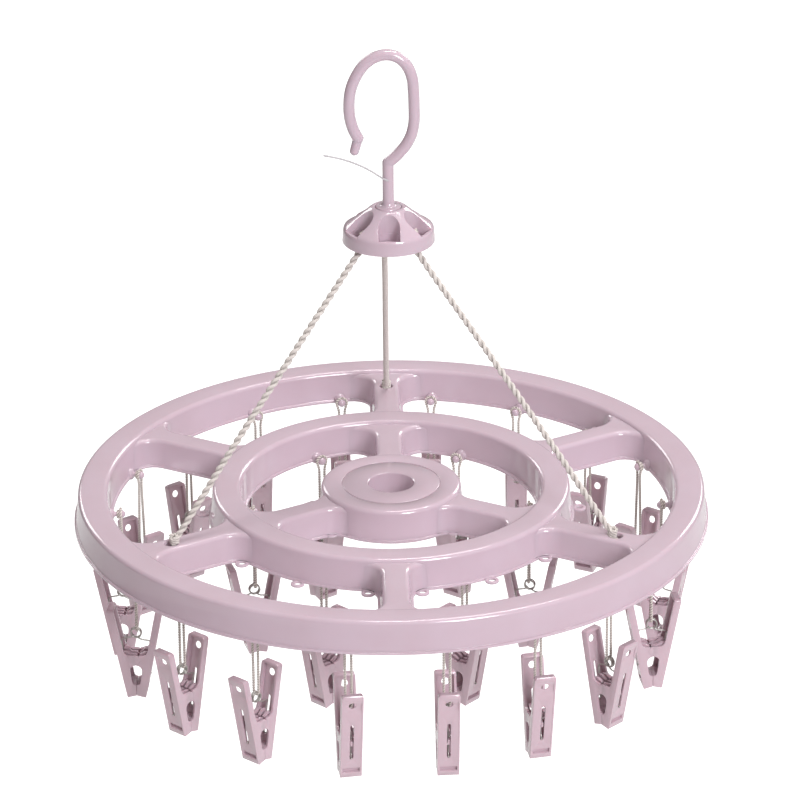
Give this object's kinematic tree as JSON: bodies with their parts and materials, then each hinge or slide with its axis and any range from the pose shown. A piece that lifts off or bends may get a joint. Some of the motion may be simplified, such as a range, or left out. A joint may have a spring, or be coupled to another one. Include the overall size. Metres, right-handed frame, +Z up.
{
  "type": "round clip drying hanger",
  "caption": "Round plastic drying hanger: a wheel-shaped frame hung by ropes from a swivelling hook, with spring clips hanging from pegs under its rings.",
  "frame": {"origin": "the point inside the top of the hook that bears on the rail; the whole hanger hangs below it", "axes": "+Z up along the hook's stem and the frame's axis; +Y from that axis towards the back outer spoke; +X to the right, along the plane of the hook"},
  "size_m": [0.3494, 0.35, 0.353],
  "materials": {
    "lilac_plastic": "smooth semi-gloss moulded polypropylene, lilac",
    "clip_plastic": "smooth semi-gloss moulded polypropylene, lilac, thin walls",
    "rope": "twisted cream rope",
    "nylon": "thin whitish nylon"
  },
  "bodies": {
    "hook": {"hook": "lilac_plastic", "tag_pin": "nylon", "stem_retainer": "nylon"},
    "cap": {"cap": "lilac_plastic", "rope_right": "rope", "rope_back": "rope", "rope_left": "rope"},
    "frame": {"frame": "lilac_plastic"},
    "clip_01": {"clip_01_outer_jaw": "clip_plastic"},
    "clip_01_inner": {"clip_01_inner_jaw": "clip_plastic"},
    "clip_02": {"clip_02_outer_jaw": "clip_plastic"},
    "clip_02_inner": {"clip_02_inner_jaw": "clip_plastic"},
    "clip_03": {"clip_03_outer_jaw": "clip_plastic"},
    "clip_03_inner": {"clip_03_inner_jaw": "clip_plastic"},
    "clip_04": {"clip_04_outer_jaw": "clip_plastic"},
    "clip_04_inner": {"clip_04_inner_jaw": "clip_plastic"},
    "clip_05": {"clip_05_outer_jaw": "clip_plastic"},
    "clip_05_inner": {"clip_05_inner_jaw": "clip_plastic"},
    "clip_06": {"clip_06_outer_jaw": "clip_plastic"},
    "clip_06_inner": {"clip_06_inner_jaw": "clip_plastic"},
    "clip_07": {"clip_07_outer_jaw": "clip_plastic"},
    "clip_07_inner": {"clip_07_inner_jaw": "clip_plastic"},
    "clip_08": {"clip_08_outer_jaw": "clip_plastic"},
    "clip_08_inner": {"clip_08_inner_jaw": "clip_plastic"},
    "clip_09": {"clip_09_outer_jaw": "clip_plastic"},
    "clip_09_inner": {"clip_09_inner_jaw": "clip_plastic"},
    "clip_10": {"clip_10_outer_jaw": "clip_plastic"},
    "clip_10_inner": {"clip_10_inner_jaw": "clip_plastic"},
    "clip_11": {"clip_11_outer_jaw": "clip_plastic"},
    "clip_11_inner": {"clip_11_inner_jaw": "clip_plastic"},
    "clip_12": {"clip_12_outer_jaw": "clip_plastic"},
    "clip_12_inner": {"clip_12_inner_jaw": "clip_plastic"},
    "clip_13": {"clip_13_outer_jaw": "clip_plastic"},
    "clip_13_inner": {"clip_13_inner_jaw": "clip_plastic"},
    "clip_14": {"clip_14_outer_jaw": "clip_plastic"},
    "clip_14_inner": {"clip_14_inner_jaw": "clip_plastic"},
    "clip_15": {"clip_15_outer_jaw": "clip_plastic"},
    "clip_15_inner": {"clip_15_inner_jaw": "clip_plastic"},
    "clip_16": {"clip_16_outer_jaw": "clip_plastic"},
    "clip_16_inner": {"clip_16_inner_jaw": "clip_plastic"},
    "clip_17": {"clip_17_outer_jaw": "clip_plastic"},
    "clip_17_inner": {"clip_17_inner_jaw": "clip_plastic"},
    "clip_18": {"clip_18_outer_jaw": "clip_plastic"},
    "clip_18_inner": {"clip_18_inner_jaw": "clip_plastic"},
    "clip_19": {"clip_19_outer_jaw": "clip_plastic"},
    "clip_19_inner": {"clip_19_inner_jaw": "clip_plastic"},
    "clip_20": {"clip_20_outer_jaw": "clip_plastic"},
    "clip_20_inner": {"clip_20_inner_jaw": "clip_plastic"},
    "clip_21": {"clip_21_outer_jaw": "clip_plastic"},
    "clip_21_inner": {"clip_21_inner_jaw": "clip_plastic"},
    "clip_22": {"clip_22_outer_jaw": "clip_plastic"},
    "clip_22_inner": {"clip_22_inner_jaw": "clip_plastic"},
    "clip_23": {"clip_23_outer_jaw": "clip_plastic"},
    "clip_23_inner": {"clip_23_inner_jaw": "clip_plastic"},
    "clip_24": {"clip_24_outer_jaw": "clip_plastic"},
    "clip_24_inner": {"clip_24_inner_jaw": "clip_plastic"}
  },
  "joints": [
    {"name": "cap_swivel", "type": "hinge", "parent": "hook", "child": "cap", "pos_m": [0, 0, -0.09], "axis": [0, 0, 1], "continuous": true},
    {"name": "cap_to_frame_lift", "type": "slide", "parent": "cap", "child": "frame", "axis": [0, 0, 1], "range_m": [0, 0.12], "deforming": ["rope_right", "rope_back", "rope_left"]},
    {"name": "clip_01_swing", "type": "hinge", "parent": "frame", "child": "clip_01", "pos_m": [0.15, 0, -0.2626], "axis": [1, 0, 0], "range_deg": [-20, 20]},
    {"name": "clip_01_open", "type": "hinge", "parent": "clip_01", "child": "clip_01_inner", "pos_m": [0.15, 0, -0.3245], "axis": [0.3746, 0.9272, 0], "range_deg": [0, 16]},
    {"name": "clip_02_swing", "type": "hinge", "parent": "frame", "child": "clip_02", "pos_m": [0.14095, 0.0513, -0.2626], "axis": [0.9397, 0.342, 0], "range_deg": [-20, 20]},
    {"name": "clip_02_open", "type": "hinge", "parent": "clip_02", "child": "clip_02_inner", "pos_m": [0.14095, 0.0513, -0.3245], "axis": [-0.766, 0.6428, 0], "range_deg": [0, 16]},
    {"name": "clip_03_swing", "type": "hinge", "parent": "frame", "child": "clip_03", "pos_m": [0.11491, 0.09642, -0.2626], "axis": [0.766, 0.6428, 0], "range_deg": [-20, 20]},
    {"name": "clip_03_open", "type": "hinge", "parent": "clip_03", "child": "clip_03_inner", "pos_m": [0.11491, 0.09642, -0.3245], "axis": [-0.8829, 0.4695, 0], "range_deg": [0, 16]},
    {"name": "clip_04_swing", "type": "hinge", "parent": "frame", "child": "clip_04", "pos_m": [0.075, 0.1299, -0.2626], "axis": [0.5, 0.866, 0], "range_deg": [-20, 20]},
    {"name": "clip_04_open", "type": "hinge", "parent": "clip_04", "child": "clip_04_inner", "pos_m": [0.075, 0.1299, -0.3245], "axis": [-1, 0, 0], "range_deg": [0, 16]},
    {"name": "clip_05_swing", "type": "hinge", "parent": "frame", "child": "clip_05", "pos_m": [0.02605, 0.14772, -0.2626], "axis": [0.1736, 0.9848, 0], "range_deg": [-20, 20]},
    {"name": "clip_05_open", "type": "hinge", "parent": "clip_05", "child": "clip_05_inner", "pos_m": [0.02605, 0.14772, -0.3245], "axis": [-0.9994, 0.0349, 0], "range_deg": [0, 16]},
    {"name": "clip_06_swing", "type": "hinge", "parent": "frame", "child": "clip_06", "pos_m": [-0.02605, 0.14772, -0.2626], "axis": [-0.1736, 0.9848, 0], "range_deg": [-20, 20]},
    {"name": "clip_06_open", "type": "hinge", "parent": "clip_06", "child": "clip_06_inner", "pos_m": [-0.02605, 0.14772, -0.3245], "axis": [-0.9962, -0.0872, 0], "range_deg": [0, 16]},
    {"name": "clip_07_swing", "type": "hinge", "parent": "frame", "child": "clip_07", "pos_m": [-0.075, 0.1299, -0.2626], "axis": [-0.5, 0.866, 0], "range_deg": [-20, 20]},
    {"name": "clip_07_open", "type": "hinge", "parent": "clip_07", "child": "clip_07_inner", "pos_m": [-0.075, 0.1299, -0.3245], "axis": [-0.9848, -0.1736, 0], "range_deg": [0, 16]},
    {"name": "clip_08_swing", "type": "hinge", "parent": "frame", "child": "clip_08", "pos_m": [-0.11491, 0.09642, -0.2626], "axis": [-0.766, 0.6428, 0], "range_deg": [-20, 20]},
    {"name": "clip_08_open", "type": "hinge", "parent": "clip_08", "child": "clip_08_inner", "pos_m": [-0.11491, 0.09642, -0.3245], "axis": [-0.788, -0.6157, 0], "range_deg": [0, 16]},
    {"name": "clip_09_swing", "type": "hinge", "parent": "frame", "child": "clip_09", "pos_m": [-0.14095, 0.0513, -0.2626], "axis": [-0.9397, 0.342, 0], "range_deg": [-20, 20]},
    {"name": "clip_09_open", "type": "hinge", "parent": "clip_09", "child": "clip_09_inner", "pos_m": [-0.14095, 0.0513, -0.3245], "axis": [-0.809, -0.5878, 0], "range_deg": [0, 16]},
    {"name": "clip_10_swing", "type": "hinge", "parent": "frame", "child": "clip_10", "pos_m": [-0.15, 0, -0.2626], "axis": [-1, 0, 0], "range_deg": [-20, 20]},
    {"name": "clip_10_open", "type": "hinge", "parent": "clip_10", "child": "clip_10_inner", "pos_m": [-0.15, 0, -0.3245], "axis": [-0.0872, -0.9962, 0], "range_deg": [0, 16]},
    {"name": "clip_11_swing", "type": "hinge", "parent": "frame", "child": "clip_11", "pos_m": [-0.14095, -0.0513, -0.2626], "axis": [-0.9397, -0.342, 0], "range_deg": [-20, 20]},
    {"name": "clip_11_open", "type": "hinge", "parent": "clip_11", "child": "clip_11_inner", "pos_m": [-0.14095, -0.0513, -0.3245], "axis": [-0.0872, -0.9962, 0], "range_deg": [0, 16]},
    {"name": "clip_12_swing", "type": "hinge", "parent": "frame", "child": "clip_12", "pos_m": [-0.11491, -0.09642, -0.2626], "axis": [-0.766, -0.6428, 0], "range_deg": [-20, 20]},
    {"name": "clip_12_open", "type": "hinge", "parent": "clip_12", "child": "clip_12_inner", "pos_m": [-0.11491, -0.09642, -0.3245], "axis": [0.7314, -0.682, 0], "range_deg": [0, 16]},
    {"name": "clip_13_swing", "type": "hinge", "parent": "frame", "child": "clip_13", "pos_m": [-0.075, -0.1299, -0.2626], "axis": [-0.5, -0.866, 0], "range_deg": [-20, 20]},
    {"name": "clip_13_open", "type": "hinge", "parent": "clip_13", "child": "clip_13_inner", "pos_m": [-0.075, -0.1299, -0.3245], "axis": [0.7431, -0.6691, 0], "range_deg": [0, 16]},
    {"name": "clip_14_swing", "type": "hinge", "parent": "frame", "child": "clip_14", "pos_m": [-0.02605, -0.14772, -0.2626], "axis": [-0.1736, -0.9848, 0], "range_deg": [-20, 20]},
    {"name": "clip_14_open", "type": "hinge", "parent": "clip_14", "child": "clip_14_inner", "pos_m": [-0.02605, -0.14772, -0.3245], "axis": [0.9877, 0.1564, 0], "range_deg": [0, 16]},
    {"name": "clip_15_swing", "type": "hinge", "parent": "frame", "child": "clip_15", "pos_m": [0.02605, -0.14772, -0.2626], "axis": [0.1736, -0.9848, 0], "range_deg": [-20, 20]},
    {"name": "clip_15_open", "type": "hinge", "parent": "clip_15", "child": "clip_15_inner", "pos_m": [0.02605, -0.14772, -0.3245], "axis": [0.9986, 0.0523, 0], "range_deg": [0, 16]},
    {"name": "clip_16_swing", "type": "hinge", "parent": "frame", "child": "clip_16", "pos_m": [0.075, -0.1299, -0.2626], "axis": [0.5, -0.866, 0], "range_deg": [-20, 20]},
    {"name": "clip_16_open", "type": "hinge", "parent": "clip_16", "child": "clip_16_inner", "pos_m": [0.075, -0.1299, -0.3245], "axis": [0.9781, 0.2079, 0], "range_deg": [0, 16]},
    {"name": "clip_17_swing", "type": "hinge", "parent": "frame", "child": "clip_17", "pos_m": [0.11491, -0.09642, -0.2626], "axis": [0.766, -0.6428, 0], "range_deg": [-20, 20]},
    {"name": "clip_17_open", "type": "hinge", "parent": "clip_17", "child": "clip_17_inner", "pos_m": [0.11491, -0.09642, -0.3245], "axis": [0.7071, 0.7071, 0], "range_deg": [0, 16]},
    {"name": "clip_18_swing", "type": "hinge", "parent": "frame", "child": "clip_18", "pos_m": [0.14095, -0.0513, -0.2626], "axis": [0.9397, -0.342, 0], "range_deg": [-20, 20]},
    {"name": "clip_18_open", "type": "hinge", "parent": "clip_18", "child": "clip_18_inner", "pos_m": [0.14095, -0.0513, -0.3245], "axis": [-0.1392, 0.9903, 0], "range_deg": [0, 16]},
    {"name": "clip_19_swing", "type": "hinge", "parent": "frame", "child": "clip_19", "pos_m": [0.0767, 0, -0.2626], "axis": [1, 0, 0], "range_deg": [-20, 20]},
    {"name": "clip_19_open", "type": "hinge", "parent": "clip_19", "child": "clip_19_inner", "pos_m": [0.0767, 0, -0.3245], "axis": [0.2079, 0.9781, 0], "range_deg": [0, 16]},
    {"name": "clip_20_swing", "type": "hinge", "parent": "frame", "child": "clip_20", "pos_m": [0.03835, 0.06642, -0.2626], "axis": [0.5, 0.866, 0], "range_deg": [-20, 20]},
    {"name": "clip_20_open", "type": "hinge", "parent": "clip_20", "child": "clip_20_inner", "pos_m": [0.03835, 0.06642, -0.3245], "axis": [-0.788, 0.6157, 0], "range_deg": [0, 16]},
    {"name": "clip_21_swing", "type": "hinge", "parent": "frame", "child": "clip_21", "pos_m": [-0.03835, 0.06642, -0.2626], "axis": [-0.5, 0.866, 0], "range_deg": [-20, 20]},
    {"name": "clip_21_open", "type": "hinge", "parent": "clip_21", "child": "clip_21_inner", "pos_m": [-0.03835, 0.06642, -0.3245], "axis": [-0.809, -0.5878, 0], "range_deg": [0, 16]},
    {"name": "clip_22_swing", "type": "hinge", "parent": "frame", "child": "clip_22", "pos_m": [-0.0767, 0, -0.2626], "axis": [-1, 0, 0], "range_deg": [-20, 20]},
    {"name": "clip_22_open", "type": "hinge", "parent": "clip_22", "child": "clip_22_inner", "pos_m": [-0.0767, 0, -0.3245], "axis": [0.2588, -0.9659, 0], "range_deg": [0, 16]},
    {"name": "clip_23_swing", "type": "hinge", "parent": "frame", "child": "clip_23", "pos_m": [-0.03835, -0.06642, -0.2626], "axis": [-0.5, -0.866, 0], "range_deg": [-20, 20]},
    {"name": "clip_23_open", "type": "hinge", "parent": "clip_23", "child": "clip_23_inner", "pos_m": [-0.03835, -0.06642, -0.3245], "axis": [0.7071, -0.7071, 0], "range_deg": [0, 16]},
    {"name": "clip_24_swing", "type": "hinge", "parent": "frame", "child": "clip_24", "pos_m": [0.03835, -0.06642, -0.2626], "axis": [0.5, -0.866, 0], "range_deg": [-20, 20]},
    {"name": "clip_24_open", "type": "hinge", "parent": "clip_24", "child": "clip_24_inner", "pos_m": [0.03835, -0.06642, -0.3245], "axis": [0.6691, 0.7431, 0], "range_deg": [0, 16]}
  ]
}
